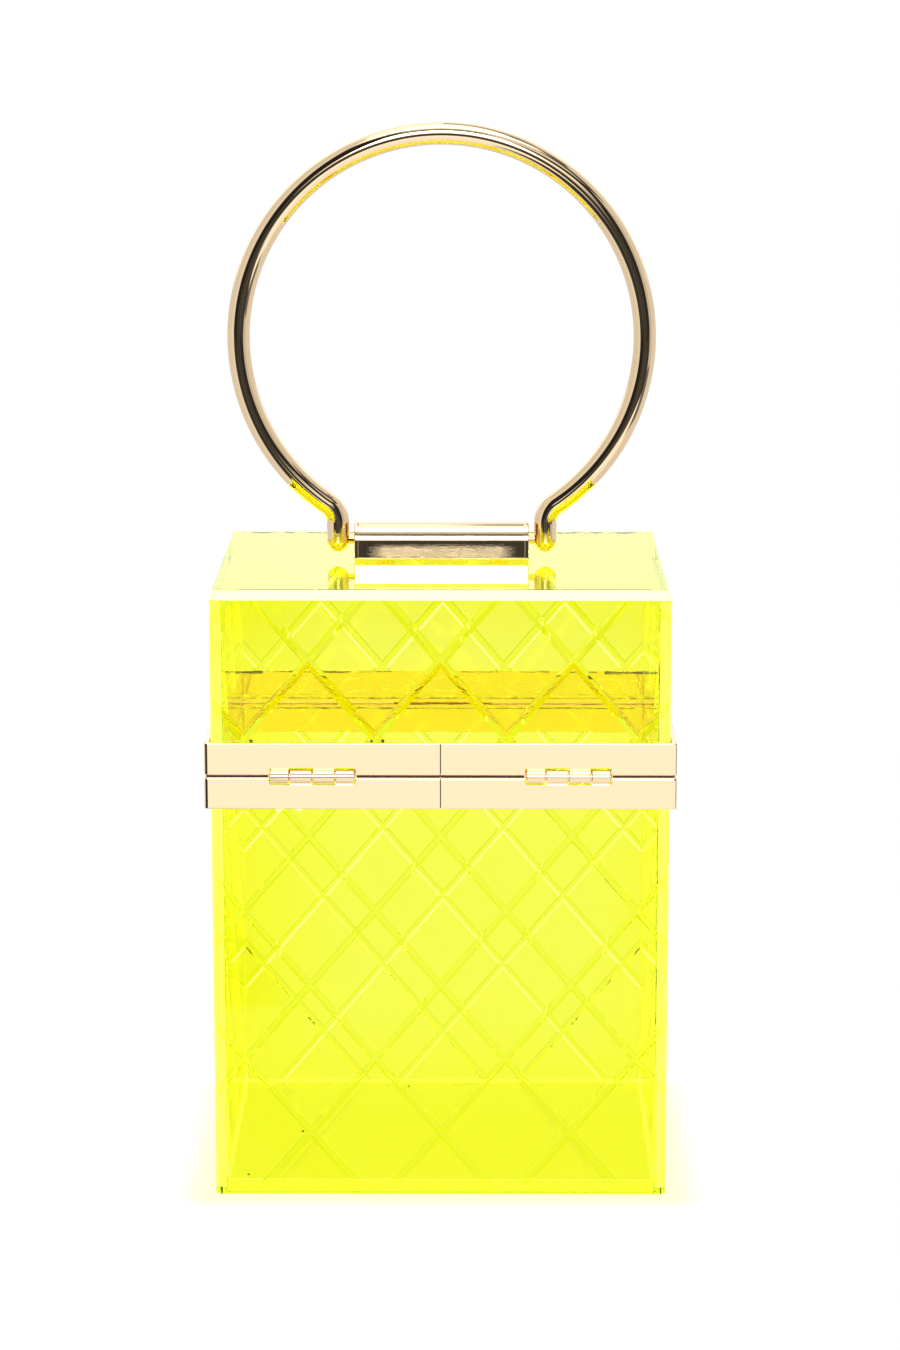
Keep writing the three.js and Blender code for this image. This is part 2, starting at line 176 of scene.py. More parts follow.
def rectangleLoops(halfX, halfY, radius, steps, radiusY=None):
    # one rounded rectangle for each entry of halfX, halfY and radius, all with the same number of points;
    # with radiusY the corners are quarters of an ellipse
    radiusY = radius if radiusY is None else radiusY
    halfX, halfY, radius, radiusY = np.broadcast_arrays(
        *(np.atleast_1d(a).astype(float) for a in (halfX, halfY, radius, radiusY)))
    angle = np.linspace(0, math.pi / 2, steps + 1)
    loops = []
    for quarter, (sx, sy) in enumerate([(1, 1), (-1, 1), (-1, -1), (1, -1)]):
        turned = angle + quarter * math.pi / 2
        x = sx * (halfX - radius)[:, None] + radius[:, None] * np.cos(turned)
        y = sy * (halfY - radiusY)[:, None] + radiusY[:, None] * np.sin(turned)
        loops.append(np.stack([x, y], -1))
    return np.concatenate(loops, axis=1)


def carriedRound(section, steps, turn, turnY):
    # each point (out, z) of a section traces its own rounded rectangle round the box;
    # turn and turnY are the corners' radii where out is nought
    out, z = np.array(section).T
    radius, radiusY = (np.maximum(t + out, 0.3 * mm) for t in (turn, turnY))
    loops = rectangleLoops(halfWidth + out, halfDepth + out, radius, steps, radiusY)
    return np.dstack([loops, np.broadcast_to(z[:, None], loops.shape[:2])])


def turnedPoints(profile, sides, centre, axis):
    # a profile of (distance from the axis, place along it) turned about the X or the Z axis through centre
    radius, along = profile[:, 0][:, None], profile[:, 1][:, None]
    angle = np.linspace(0, 2 * math.pi, sides, endpoint=False)[None, :]
    a, b = radius * np.cos(angle), radius * np.sin(angle)
    along = np.broadcast_to(along, a.shape)
    stacked = [along, a, b] if axis == "x" else [a, b, along]
    return np.stack(stacked, -1) + np.array(centre)


def thinPlate(lows, highs):
    # corners and quads of a straight plate between two corner points
    xs, ys, zs = zip(lows, highs)
    corners = [(x, y, z) for x in xs for y in ys for z in zs]
    return corners, [(0, 1, 3, 2), (4, 6, 7, 5), (0, 4, 5, 1), (2, 3, 7, 6), (0, 2, 6, 4), (1, 5, 7, 3)]


def makePlates(name, body, plates, material, slotName):
    made = makeObject(name, *joined(thinPlate(*plate) for plate in plates), material)
    place(made, body, slotName)


# Material tools

def feed(tree, node, inputs):
    # each input, by name or number, follows a socket or gets a value; colours are given without alpha
    for key, value in inputs.items():
        socket = node.inputs[key]
        if isinstance(value, bpy.types.NodeSocket):
            tree.links.new(value, socket)
        else:
            socket.default_value = (*value, 1) if socket.type == "RGBA" else value
    return node


def addNode(tree, kind, inputs=None, **settings):
    node = tree.nodes.new(kind)
    for name, value in settings.items():
        setattr(node, name, value)
    return feed(tree, node, inputs or {})


def calculate(tree, operation, *values):
    return addNode(tree, "ShaderNodeMath", dict(enumerate(values)), operation=operation).outputs[0]


def calculateVector(tree, operation, *values):
    return addNode(tree, "ShaderNodeVectorMath", dict(enumerate(values)), operation=operation).outputs[0]


def blend(tree, share, plain, marked):
    # the colour between plain and marked
    colours = {0: share, 6: plain, 7: marked}
    return addNode(tree, "ShaderNodeMix", colours, data_type="RGBA").outputs[2]


def ramp(tree, value, start, end, low=0.0, high=1.0, kind="SMOOTHSTEP"):
    # low at start and high at end, with a smooth change between them
    spans = {"Value": value, "From Min": start, "From Max": end, "To Min": low, "To Max": high}
    return addNode(tree, "ShaderNodeMapRange", spans, interpolation_type=kind).outputs["Result"]


def noise(tree, vector, scale, detail, roughness):
    inputs = {"Vector": vector, "Scale": scale, "Detail": detail, "Roughness": roughness}
    return addNode(tree, "ShaderNodeTexNoise", inputs).outputs["Fac"]


def stretch(tree, vector, scale):
    return addNode(tree, "ShaderNodeMapping", {"Vector": vector, "Scale": scale}).outputs[0]


def bump(tree, height, distance, more=None):
    inputs = {"Strength": 0.5, "Distance": distance, "Height": height, **(more or {})}
    return addNode(tree, "ShaderNodeBump", inputs).outputs["Normal"]


def faceMark(tree, name):
    return addNode(tree, "ShaderNodeAttribute", attribute_name=name).outputs["Fac"]


def newGroup(name, inputs, outputs):
    # a node group with its outer sockets, each a name and a kind
    tree = bpy.data.node_groups.new(name, "ShaderNodeTree")
    for direction, sockets in (("INPUT", inputs), ("OUTPUT", outputs)):
        for socket, kind in sockets.items():
            tree.interface.new_socket(socket, in_out=direction, socket_type="NodeSocket" + kind)
    return tree, tree.nodes.new("NodeGroupInput").outputs, tree.nodes.new("NodeGroupOutput")


def newMaterial(name, inputs):
    # a material whose shader gets the given inputs
    material = bpy.data.materials.new(name)
    material.use_nodes = True
    tree = material.node_tree
    return material, tree, feed(tree, tree.nodes["Principled BSDF"], inputs)


handlingLook = {
    "smudgeScale": 38.0,
    "smudges": (0.45, 0.75),            # the noise where a smudge starts and where it is full
    "scratches": (220.0, 900.0, 2600.0),
}


def buildHandlingGroup():
    # Fine scratches and finger smudges: Roughness rises in the smudges, Height is the scratches' relief
    tree, entry, result = newGroup(
        "handlingMarks", {"Scale": "Float", "Smooth": "Float", "Smudged": "Float", "Vector": "Vector"},
        {"Roughness": "Float", "Height": "Float"})
    scaled = addNode(tree, "ShaderNodeVectorMath", {0: entry["Vector"], "Scale": entry["Scale"]},
                     operation="SCALE").outputs[0]
    smudge = noise(tree, scaled, handlingLook["smudgeScale"], 4.0, 0.6)
    scratch = noise(tree, calculateVector(tree, "MULTIPLY", scaled, handlingLook["scratches"]), 1.0, 2.0, 0.5)
    feed(tree, result, {
        "Roughness": ramp(tree, smudge, *handlingLook["smudges"], entry["Smooth"], entry["Smudged"]),
        "Height": scratch,
    })
    return tree


handlingMarks = buildHandlingGroup()


def addHandling(tree, shader, scale, smooth, smudged, relief):
    # smudges into the roughness and scratches into the normal of one material;
    # gives back the place on the object, the roughness and the normal
    place = tree.nodes.new("ShaderNodeTexCoord").outputs["Object"]
    inputs = {"Scale": scale, "Smooth": smooth, "Smudged": smudged, "Vector": place}
    marks = addNode(tree, "ShaderNodeGroup", inputs, node_tree=handlingMarks).outputs
    normal = bump(tree, marks["Height"], relief)
    feed(tree, shader, {"Roughness": marks["Roughness"], "Normal": normal})
    return place, marks["Roughness"], normal


# each finish below: scale of the marks, roughness of clean and of smudged places, relief of the scratches

acrylicLook = {
    "ior": 1.49,
    "tint": (0.9955, 0.999, 0.0),      # what a metre's density lets through of red, green and blue
    "density": 600.0,                  # absorption for each metre
    "mirrored": (1.0, 1.0, 0.5),       # its reflections lose some blue too
    "finish": (1.0, 0.0, 0.025, 0.000004),
    "milled": (0.9, 0.97, 0.4),        # the cut grooves are a little greener
    "glow": (0.78, 0.80, 0.66),        # painted light: a steady glow at the sheets' edges, for the edge fluorescence of neon acrylic and for the highlights there
}


def makeAcrylic():
    # Clear neon-yellow acrylic: glass whose depth takes the blue out, with faint smudges.
    # Two face attributes say which faces are milled grooves and how much painted glow a sheet's edge gets.
    material, tree, shader = newMaterial("neonAcrylic", {
        "Transmission Weight": 1, "IOR": acrylicLook["ior"], "Specular Tint": acrylicLook["mirrored"],
        "Emission Strength": 1})
    addHandling(tree, shader, *acrylicLook["finish"])
    feed(tree, shader, {
        "Base Color": blend(tree, faceMark(tree, "milled"), (1, 1, 1), acrylicLook["milled"]),
        "Emission Color": blend(tree, faceMark(tree, "glow"), (0, 0, 0), acrylicLook["glow"]),
    })
    depth = addNode(tree, "ShaderNodeVolumeAbsorption",
                    {"Color": acrylicLook["tint"], "Density": acrylicLook["density"]})
    feed(tree, tree.nodes["Material Output"], {"Volume": depth.outputs[0]})
    return material


goldLook = {
    "colour": (0.92, 0.71, 0.46),
    "finish": (1.6, 0.025, 0.075, 0.000002),
    "barrelFinish": (1.6, 0.03, 0.09, 0.000004),
    "grain": (750.0, 3000.0, 3000.0),   # of the brushing on the barrel's flat sides
    "grainRelief": 0.00007,
    "satin": 0.3,                       # roughness that the brushing adds
}


def makeGold():
    # Polished pale rose-gold plating
    material, tree, shader = newMaterial("mirrorGold", {"Base Color": goldLook["colour"], "Metallic": 1})
    addHandling(tree, shader, *goldLook["finish"])
    return material


def makeBarrelGold():
    # The same plating, brushed lengthwise as far as the attribute brushed says
    material, tree, shader = newMaterial("drawnGold", {"Base Color": goldLook["colour"], "Metallic": 1})
    place, roughness, normal = addHandling(tree, shader, *goldLook["barrelFinish"])
    grain = noise(tree, stretch(tree, place, goldLook["grain"]), 1.0, 3.0, 0.7)
    height = calculate(tree, "MULTIPLY", grain, faceMark(tree, "brushed"))
    feed(tree, shader, {
        "Roughness": calculate(tree, "MULTIPLY_ADD", height, goldLook["satin"], roughness),
        "Normal": bump(tree, height, goldLook["grainRelief"], {"Normal": normal}),
    })
    return material


cementLook = {
    "ior": 1.45,
    "finish": (4.0, 0.08, 0.35, 0.00002),
    "streaks": (900.0, 900.0, 60.0),
    "shares": (0.25, 1.75),     # its painted glow varies between these
}


def makeCement(name, colour, glow, clear):
    # Acrylic cement: clear in a bead, and milky in the thin joints between the sheets. Each cement also gets
    # a painted glow, light that it gives out as the sheets' edges do, though it is no lamp
    material, tree, shader = newMaterial(name, {
        "Base Color": colour, "IOR": cementLook["ior"], "Transmission Weight": clear, "Emission Strength": 1})
    place = addHandling(tree, shader, *cementLook["finish"])[0]
    cloud = noise(tree, stretch(tree, place, cementLook["streaks"]), 1.0, 3.0, 0.6)
    faint, strong = ([share * c for c in glow] for share in cementLook["shares"])
    feed(tree, shader, {"Emission Color": blend(tree, cloud, faint, strong)})
    return material


grimeAndShadeLook = {
    "dark": (0.02, 0.01, 0.008),
    "brown": (0.14, 0.07, 0.04),
    "roughness": 0.6,
    "blotches": 400.0,
}


def makeGrimeAndShade():
    # Dull brown blotches: painted shade in the narrow gaps between the metal parts, dark patches behind the lid's
    # frame, and the grime of the small specks
    material, tree, shader = newMaterial("brownTarnish", {"Roughness": grimeAndShadeLook["roughness"]})
    place = tree.nodes.new("ShaderNodeTexCoord").outputs["Object"]
    blotch = noise(tree, place, grimeAndShadeLook["blotches"], 3.0, 0.6)
    feed(tree, shader, {"Base Color": blend(tree, blotch, grimeAndShadeLook["dark"], grimeAndShadeLook["brown"])})
    return material


acrylic = makeAcrylic()
grimeAndShade = makeGrimeAndShade()
gold = makeGold()
barrelGold = makeBarrelGold()
# painted light: the third colour of each cement is a glow that it gives out
cornerCement = makeCement("cornerCement", (0.9, 0.9, 0.8), (0.62, 0.64, 0.7), 0.0)
floorCement = makeCement("floorCement", (0.85, 0.88, 0.3), (0.6, 0.66, 0.1), 0.0)
beadCement = makeCement("beadCement", (0.97, 0.97, 0.75), (0.3, 0.31, 0.16), 0.6)
print("materials made")


# Camera and studio

cameraPlace = {
    "position": (7.3 * mm, -983 * mm, 329 * mm),
    "pitchDown": 11.64,     # degrees
    "turnLeft": 0.30,
    "focalPixels": 3851.0,
    "photoHeight": 1350.0,
}


def addCamera():
    data = bpy.data.cameras.new("camera")
    data.sensor_fit = "VERTICAL"
    data.sensor_height = 36.0
    data.lens = cameraPlace["focalPixels"] * data.sensor_height / cameraPlace["photoHeight"]
    data.clip_start = 0.05
    data.clip_end = 50
    camera = bpy.data.objects.new("camera", data)
    camera.location = cameraPlace["position"]
    tilt = math.radians(90 - cameraPlace["pitchDown"])
    camera.rotation_euler = (tilt, 0, math.radians(cameraPlace["turnLeft"]))
    bpy.context.scene.collection.objects.link(camera)
    bpy.context.scene.camera = camera


studio = {
    "plain": 1.03,           # what the camera sees behind the clutch
    "walls": 0.78,           # the room at the sides, as the metal mirrors it
    # softboxes and black flags that the metal mirrors, each over the ones before it: middle and half width
    # in azimuth (degrees right of the camera), lowest and highest elevation, brightness
    "panels": [
        (0, 181, 66, 91, 1.5),
        (-155, 26, 54, 91, 1.45),
        (-155, 26, 4, 48, 1.3),
        (155, 26, 4, 48, 1.2),
        (10, 62, 57, 91, 2.6),
        (62, 13, 33, 55, 0.1),
        (88, 14, 50, 70, 0.12),
        (116, 15, 60, 72, 0.3),
        (156, 26, 61, 73, 0.3),
        (20, 40, -91, -26, 1.05),
        (20, 40, -26, -13.6, 1.2),
        (-55, 25, -91, -40, 0.95),
        (-60, 14, -35, 56, 0.85),
        (62, 13, -12, 30, 0.6),
        (60, 14, -26, -12, 0.15),
        (-29, 17, -42, 52, 0.02),
        (33, 17, -16.5, 34, 0.03),
        (-20, 9, 50, 58, 0.5),
        (2, 14, -13.6, 4, 0.05),
        (0, 13, 31, 46, 0.25),
        (0, 14, 46, 57, 0.75),
        (18, 6, 12.5, 20, 1.1),
        (0, 11, 7, 29, 8.0),
        (0, 12, 5, 12.5, 1.2),
    ],
    "soft": 2.0,             # degrees over which a panel's edge fades
    # light round the clutch that only reaches the camera through the acrylic, azimuth from straight behind
    "backWall": (1.12, 1.13, 0.9),
    "backPanels": [
        (0, 110, -91, 91, (0.97, 0.97, 0.8)),
        (0, 20, -91, -1.5, (0.84, 0.93, 0.1)),
        (0, 20, -1.5, 91, (0.74, 0.84, 0.1)),
        (0, 8.3, -91, 91, (0.93, 0.955, 0.6)),
        (0, 2.6, -17.3, 0, (0.94, 0.965, 2.6)),
        (-33, 14, -48, -18, (16.0, 16.0, 34.0)),
        (33, 14, -48, -18, (16.0, 16.0, 34.0)),
    ],
}


def windowMask(tree, value, low, high):
    # one from low to high, nought outside, with a soft edge
    middle, half, soft = (low + high) / 2, (high - low) / 2, studio["soft"] / 2
    distance = calculate(tree, "ABSOLUTE", calculate(tree, "SUBTRACT", value, middle))
    return ramp(tree, distance, half + soft, half - soft)


def layPanels(tree, direction, ahead, ground, panels):
    # colours laid over each other, each in its own window of azimuth and elevation in degrees;
    # ahead is the sign of Y at azimuth nought
    x, y, z = addNode(tree, "ShaderNodeSeparateXYZ", {0: direction}).outputs
    turned = calculate(tree, "ARCTAN2", x, calculate(tree, "MULTIPLY", y, ahead))
    azimuth = calculate(tree, "DEGREES", turned)
    elevation = calculate(tree, "DEGREES", calculate(tree, "ARCSINE", z))
    colour = ground
    for middle, half, low, high, value in panels:
        across = windowMask(tree, azimuth, middle - half, middle + half)
        upward = windowMask(tree, elevation, low, high)
        laid = value if isinstance(value, tuple) else (value,) * 3
        colour = blend(tree, calculate(tree, "MULTIPLY", across, upward), colour, laid)
    return colour


def buildStudioGroup():
    # brightness of the studio in a direction, as shiny metal mirrors it
    tree, entry, result = newGroup("studioLight", {"Direction": "Vector"}, {"Colour": "Color"})
    walls = (studio["walls"],) * 3
    feed(tree, result, {"Colour": layPanels(tree, entry["Direction"], -1, walls, studio["panels"])})
    return tree


studioLight = buildStudioGroup()


def mirroredRoom(tree, direction):
    return addNode(tree, "ShaderNodeGroup", {"Direction": direction}, node_tree=studioLight).outputs["Colour"]


def addStudio():
    # The studio is the world. The camera sees plain white, the acrylic lets through the light from behind,
    # and everything else gets the softboxes and flags.
    world = bpy.data.worlds.new("studio")
    bpy.context.scene.world = world
    world.use_nodes = True
    tree = world.node_tree
    direction = tree.nodes.new("ShaderNodeTexCoord").outputs["Generated"]
    through = layPanels(tree, direction, 1, studio["backWall"], studio["backPanels"])
    ray = tree.nodes.new("ShaderNodeLightPath").outputs
    passed = blend(tree, ray["Is Transmission Ray"], mirroredRoom(tree, direction), through)
    seen = blend(tree, ray["Is Camera Ray"], passed, (studio["plain"],) * 3)
    feed(tree, tree.nodes["Background"], {"Color": seen})


floorLook = {
    "nearEdge": -1.6,
    "farEdge": 3.0,
    "halfWidth": 3.0,
    "below": 0.2 * mm,           # its surface is this far under the clutch
    "colour": (0.02, 0.02, 0.02),
    "glow": 1.0,                 # it is a light table
    "tint": (1.0, 1.0, 0.7),     # painted light: the yellow that the acrylic would cast round its foot
    "tintReach": 13 * mm,
    "mirrorHeight": 200 * mm,    # the metal mirrors it about as from this height
}


def addFloor():
    # A lit white table. It stays white under the clutch, and round its foot it has a painted pool of the yellow
    # light that the acrylic would cast.
    # In the metal it shows as the lower half of the studio does from the ring's height.
    material, tree, shader = newMaterial("paleTable", {
        "Base Color": floorLook["colour"], "Roughness": 1, "Specular IOR Level": 0,
        "Emission Strength": floorLook["glow"]})
    place = tree.nodes.new("ShaderNodeTexCoord").outputs["Object"]
    beyond = calculateVector(tree, "SUBTRACT", calculateVector(tree, "ABSOLUTE", place),
                             (halfWidth, halfDepth, 0))
    outside = calculateVector(tree, "MAXIMUM", beyond, (0, 0, 0))
    away = addNode(tree, "ShaderNodeVectorMath", {0: outside}, operation="LENGTH").outputs["Value"]
    # painted light: a pool of yellow, fading with the distance from the clutch's foot
    near = ramp(tree, away, floorLook["tintReach"], 0, kind="SMOOTHERSTEP")
    paintedYellowPool = blend(tree, near, (1, 1, 1), floorLook["tint"])
    lowered = calculateVector(tree, "SUBTRACT", place, (0, 0, floorLook["mirrorHeight"]))
    room = mirroredRoom(tree, calculateVector(tree, "NORMALIZE", lowered))
    ray = tree.nodes.new("ShaderNodeLightPath").outputs
    feed(tree, shader, {"Emission Color": blend(tree, ray["Is Glossy Ray"], paintedYellowPool, room)})
    x, y0, y1 = floorLook["halfWidth"], floorLook["nearEdge"], floorLook["farEdge"]
    z = -floorLook["below"]
    mesh = bpy.data.meshes.new("table")
    mesh.from_pydata([(-x, y0, z), (x, y0, z), (x, y1, z), (-x, y1, z)], [], [[0, 1, 2, 3]])
    mesh.materials.append(material)
    table = bpy.data.objects.new("table", mesh)
    table.visible_transmission = False
    bpy.context.scene.collection.objects.link(table)


addCamera()
addStudio()
addFloor()
scene = bpy.context.scene
scene.view_settings.view_transform = "Standard"
scene.view_settings.look = "None"
scene.cycles.max_bounces = 32
scene.cycles.transmission_bounces = 32
scene.cycles.glossy_bounces = 12
print("camera and studio ready")


# Acrylic shells

shellLook = {
    "cornerRound": 1.2 * mm,
    "cornerSteps": 12,
    "creaseAngle": 10.5,        # degrees: the corner rounds turn smoothly, everything else stays crisp
    "floor": 3 * mm,
    "footBevel": 0.5 * mm,
    "topBevelHeight": 2.6 * mm,
    "topBevelInset": 0.9 * mm,
    # the rounded upper edge of the bevel: outward from the bevel's inset, and down from the top
    "topRound": [(-0.25 * mm, 0), (-0.1 * mm, 0.03 * mm), (0.02 * mm, 0.12 * mm), (0.08 * mm, 0.24 * mm)],
    "edge": 0.12 * mm,          # broken edges at the rims
    "fillet": 0.5 * mm,         # of cement round the floor
    "screwHole": 1.4 * mm,
}
grooveLook = {
    "across": 33 * mm,          # one diamond
    "tall": 38.8 * mm,
    "stripWidth": 0.34 * mm,    # a steep strip along both sides of a groove
    "stripSlope": 34.0,         # degrees
    "hingeSideSlope": 15.0,     # of the strips on the hinge side
    "proud": 0.3 * mm,
    "baseCrossing": 55.7 * mm,
    "baseWidth": 1.8 * mm,
    "baseSlope": 4.0,           # of the groove between its strips
    "lidCrossing": 139.2 * mm,
    "lidWidth": 2.4 * mm,
    "lidSlope": 7.0,
    "underFrame": 0.1 * mm,     # how far a groove runs on behind a frame
}
markLook = {
    # which faces are marked, by how far in they lie and by how far up or down they look
    "grooveDepth": (0.01 * mm, 0.9 * mm),
    "grooveUp": (0.005, 0.9),
    "grooveEnd": 0.05 * mm,     # a groove's level ends aren't marked
    "bevelDepth": 1.2 * mm,
    "bevelUp": 0.6,
    "filletDepth": 2 * mm,
    "filletUp": 0.95,
    "filletGlow": 0.5,
}
jointLook = {
    "thick": 0.12 * mm,         # of the cement between two sheets
    "inset": 0.25 * mm,         # it ends this far under the surface
    "foot": 0.9 * mm,           # and this far from the foot's bevel, the rims and the top's bevel
    "rim": 0.3 * mm,
    "top": 0.6 * mm,
    "floor": (0.3 * mm, 2.85 * mm),
}


def grooveSection(width, slope, stripSlope):
    # half of a groove is a steep strip and then a shallower slope down to its middle; (across, outward)
    half, strip, proud = width / 2, grooveLook["stripWidth"], grooveLook["proud"]
    steep = math.tan(math.radians(stripSlope))
    shoulder = -strip * steep
    bottom = shoulder - (half - strip) * math.tan(math.radians(slope))
    right = [(0, bottom), (half - strip, shoulder), (half, 0), (half + proud / steep, proud)]
    left = [(-a, o) for a, o in right[:0:-1]]
    return np.array(right + left)


def grooveCutter(sides, lean, section, crossing, low, high):
    # straight bars with the groove's section, one diamond apart, ending level at low and high;
    # they lean sideways by the diamond's proportions and two leanings cross in the middle of each side
    slope = grooveLook["across"] / grooveLook["tall"]
    faces = tubeFaces(2, len(section))
    heights = np.array([low, high])
    bars = []
    for right, outward, halfFace, distance in sides:
        along = np.array([*(np.array(right) * lean * slope), 1.0])
        along /= np.linalg.norm(along)
        out = np.array([*outward, 0.0])
        across = np.cross(out, along)
        reach = math.ceil((halfFace + (high - low) * slope) / grooveLook["across"])
        for line in range(-reach, reach + 1):
            ends = line * grooveLook["across"] + lean * (heights - crossing) * slope
            if ends.min() > halfFace or ends.max() < -halfFace:
                continue
            start = out * distance + np.array([*(np.array(right) * ends[0]), low])
            offset = section[:, :1] * across + section[:, 1:] * out
            slide = (heights[:, None] - low - offset[:, 2]) / along[2]
            bars.append((start + offset + slide[..., None] * along, faces))
    return makeObject("grooveBars", *joined(bars), acrylic)


def makeShell(node, name, body, section, crossing, low, high, width, slope, holes=()):
    # the section runs from the middle of the plate's outside, up the wall, over the rim and back inside
    points = carriedRound(section, shellLook["cornerSteps"], *[shellLook["cornerRound"]] * 2)
    shell = makeObject(name, points, tubeFaces(*points.shape[:2]), acrylic)
    steep = grooveSection(width, slope, grooveLook["stripSlope"])
    gentle = grooveSection(width, slope, grooveLook["hingeSideSlope"])
    hingeSide = [((1, 0), (0, -1), halfWidth, halfDepth)]
    claspSide = [((-1, 0), (0, 1), halfWidth, halfDepth)]
    shortSides = [((0, 1), (1, 0), halfDepth, halfWidth), ((0, -1), (-1, 0), halfDepth, halfWidth)]
    cutters = [grooveCutter(sides, lean, profile, crossing, low, high)
               for sides, profile in ((hingeSide, gentle), (claspSide, steep), (shortSides, steep))
               for lean in (-1, 1)]
    cutAway(shell, cutters + list(holes), shellLook["creaseAngle"])
    markShell(shell.data, low, high)
    keepFlat(shell)
    print(name, len(shell.data.polygons), "faces")
    place(shell, body, "yellow_acrylic", [node])


def markShell(mesh, low, high):
    # milled is 1 on the cut grooves, which lie inside the outer planes and lean, and glow, a painted light, is 1
    # on the bevel round the top and less on the small fillet round the floor
    centre = faceValues(mesh, "center")
    height, up = centre[:, 2], abs(faceValues(mesh, "normal")[:, 2])
    depth = np.minimum(halfWidth - abs(centre[:, 0]), halfDepth - abs(centre[:, 1]))
    (leastDepth, mostDepth), (leastUp, mostUp) = markLook["grooveDepth"], markLook["grooveUp"]
    groove = (height > low + markLook["grooveEnd"]) & (height < high - markLook["grooveEnd"])
    groove &= (up > leastUp) & (up < mostUp) & (depth > leastDepth) & (depth < mostDepth)
    bevel = height > lidHigh.z - shellLook["topBevelHeight"]
    bevel &= (depth < markLook["bevelDepth"]) & (up < markLook["bevelUp"])
    corner = (height > shellLook["floor"]) & (height < shellLook["floor"] + shellLook["fillet"])
    corner &= (up < markLook["filletUp"]) & (depth > markLook["filletDepth"])
    markFaces(mesh, "milled", groove.astype(float))
    markFaces(mesh, "glow", bevel + markLook["filletGlow"] * corner)


def jointPlates(low, high, lengthwise=False):
    # the cement in the joints between the sheets. The long walls run from corner to corner. The short walls
    # butt against them from inside, so there is an upright joint at each corner, one wall thick.
    # With lengthwise it is the floor plate's joint with the long walls instead.
    half, inset = jointLook["thick"] / 2, jointLook["inset"]
    if lengthwise:
        spans = [(wall - halfWidth, halfWidth - wall)]
    else:
        spans = [(inset - halfWidth, wall - inset - halfWidth), (halfWidth - wall + inset, halfWidth - inset)]
    middles = [side * (halfDepth - wall - jointLook["thick"]) for side in (-1, 1)]
    return [((x0, y - half, low), (x1, y + half, high)) for y in middles for x0, x1 in spans]


def screwHole(node):
    low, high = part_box(node)
    radius, reach, sides = shellLook["screwHole"], 5 * mm, 32
    section = np.array([(radius, lidHigh.z - reach), (radius, lidHigh.z + reach)])
    points = turnedPoints(section, sides, ((low.x + high.x) / 2, 0, 0), "z")
    return makeObject("hole", points, tubeFaces(2, sides), acrylic)


edge, floorTop, fillet = shellLook["edge"], shellLook["floor"], shellLook["fillet"]
rim, foot = baseHigh.z, shellLook["footBevel"]
baseSection = [(-foot, 0), (0, foot), (0, rim - edge), (-edge, rim), (edge - wall, rim), (-wall, rim - edge),
               (-wall, floorTop + fillet), (-wall - 0.3 * fillet, floorTop + 0.3 * fillet),
               (-wall - fillet, floorTop)]
makeShell("base_shell", "baseAcrylic", "base", baseSection, grooveLook["baseCrossing"], floorTop,
          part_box("base_band")[0].z + grooveLook["underFrame"], grooveLook["baseWidth"], grooveLook["baseSlope"])
makePlates("baseCornerJoints", "base", jointPlates(foot + jointLook["foot"], rim - jointLook["rim"]),
           cornerCement, "yellow_acrylic")
makePlates("floorJoint", "base", jointPlates(*jointLook["floor"], True), floorCement, "yellow_acrylic")
rim, top, inset = lidLow.z, lidHigh.z, shellLook["topBevelInset"]
shoulder = top - shellLook["topBevelHeight"]
lidSection = [(out - inset, top - down) for out, down in shellLook["topRound"]]
lidSection += [(0, shoulder), (0, rim + edge), (-edge, rim), (edge - wall, rim), (-wall, rim + edge),
               (-wall, top - wall)]
makeShell("lid_shell", "lidAcrylic", "lid", lidSection, grooveLook["lidCrossing"],
          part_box("lid_band")[1].z - grooveLook["underFrame"], shoulder, grooveLook["lidWidth"],
          grooveLook["lidSlope"], [screwHole("left_screw"), screwHole("right_screw")])
makePlates("lidCornerJoints", "lid", jointPlates(rim + jointLook["rim"], shoulder - jointLook["top"]),
           cornerCement, "yellow_acrylic")
print("acrylic shells ready")


# Metal frames

bandLook = {
    "parting": 0.25 * mm,       # from the hinges' axis to either frame
    "gap": 0.3 * mm,            # between the acrylic and the skirt
    "sheet": 1.2 * mm,
    "lip": 1.0 * mm,
    "outerRound": 0.75 * mm,    # the polished outer corner of the lip
    "endRound": 0.3 * mm,
    "smallRound": 0.12 * mm,
    "lipRound": 0.5 * mm,       # the base frame's inner edge catches the light from above
    "cornerAlong": 0.9 * mm,    # the corners seen from above are flattened rounds
    "cornerAcross": 0.35 * mm,
    "cornerSteps": 14,
    "seam": 0.3 * mm,
    "seamDepth": 0.5 * mm,
    "tarnishBack": 0.5 * mm,    # how far the painted shade in the parting, a dark plate, stands behind the faces
    "tarnishDeep": 0.6 * mm,
    "tarnishClear": 0.04 * mm,  # between it and the base frame
    "tarnishInto": 0.06 * mm,   # it reaches this far into the lid frame
    "tarnishEnd": 0.1 * mm,     # and stops this far from a hinge's window
    # dark patches behind the top of the lid's frame at the front: left end, right end, height
    "grime": [(-57, -49, 0.6), (-46, -34, 0.22), (-33, -25, 0.35), (-23, -14, 0.2), (5, 15, 0.2),
              (21, 29, 0.3), (33, 42, 0.4), (44, 55, 0.65)],
    "grimeOut": (0.06 * mm, 0.2 * mm),
    "grimeTop": 0.05 * mm,
}
bandTop = hingeAxis[2] - bandLook["parting"]
lidBandBottom = hingeAxis[2] + bandLook["parting"]
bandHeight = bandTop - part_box("base_band")[0].z
skirtFar = bandLook["gap"] + bandLook["sheet"]
skirtFace = halfDepth + skirtFar


